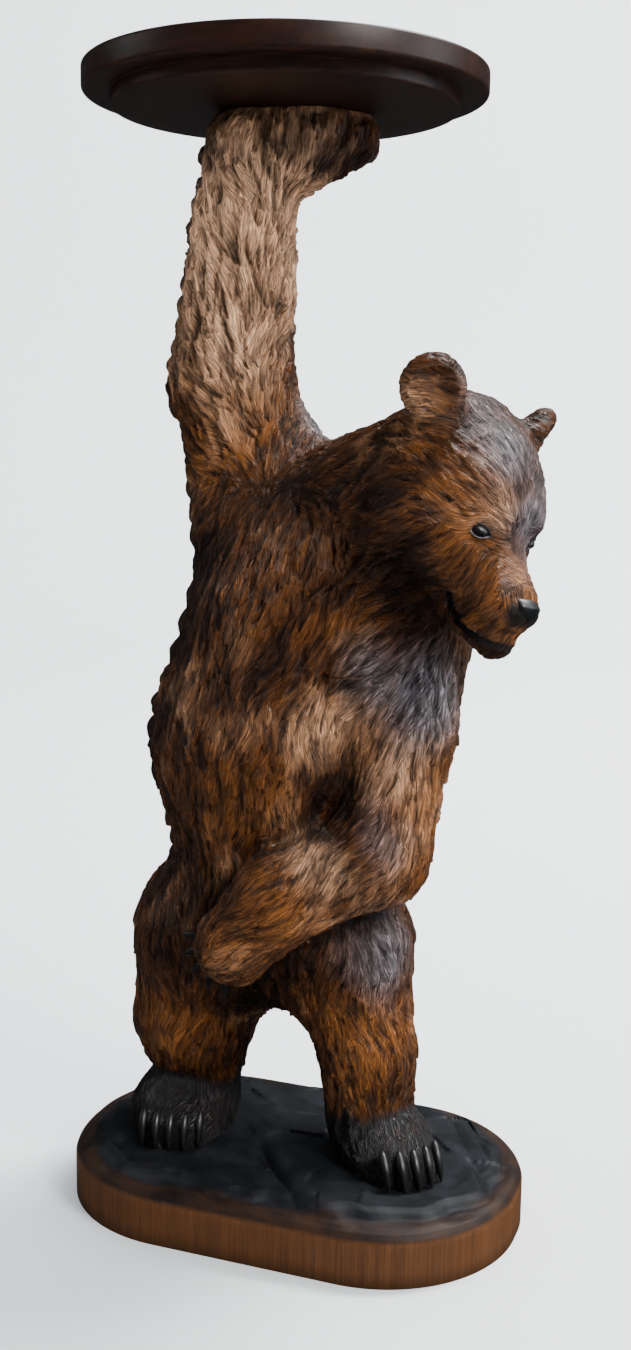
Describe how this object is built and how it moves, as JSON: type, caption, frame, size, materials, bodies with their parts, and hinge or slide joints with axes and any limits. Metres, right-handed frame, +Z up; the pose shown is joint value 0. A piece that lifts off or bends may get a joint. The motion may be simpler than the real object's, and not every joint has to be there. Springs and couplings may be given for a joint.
{
  "type": "carved wooden bear tray stand",
  "caption": "Standing bear carved from one block with its chiselled rock base, one arm raised flat-pawed under a round turned tray with a stepped underside.",
  "frame": {"origin": "centre of the base's flat underside", "axes": "+Z up, +X along the base's length towards the bear's left, the bear's chest faces -Y"},
  "size_m": [0.2204, 0.1695, 0.5],
  "materials": {
    "carved_wood": "carved and stained, tan to near-black brown in the cuts, satin, glossy black on the eyes, nose and claws",
    "turned_wood": "turned smooth, dark walnut stain, satin"
  },
  "bodies": {
    "root": {"bear": "carved_wood", "tray": "turned_wood"}
  },
  "joints": []
}
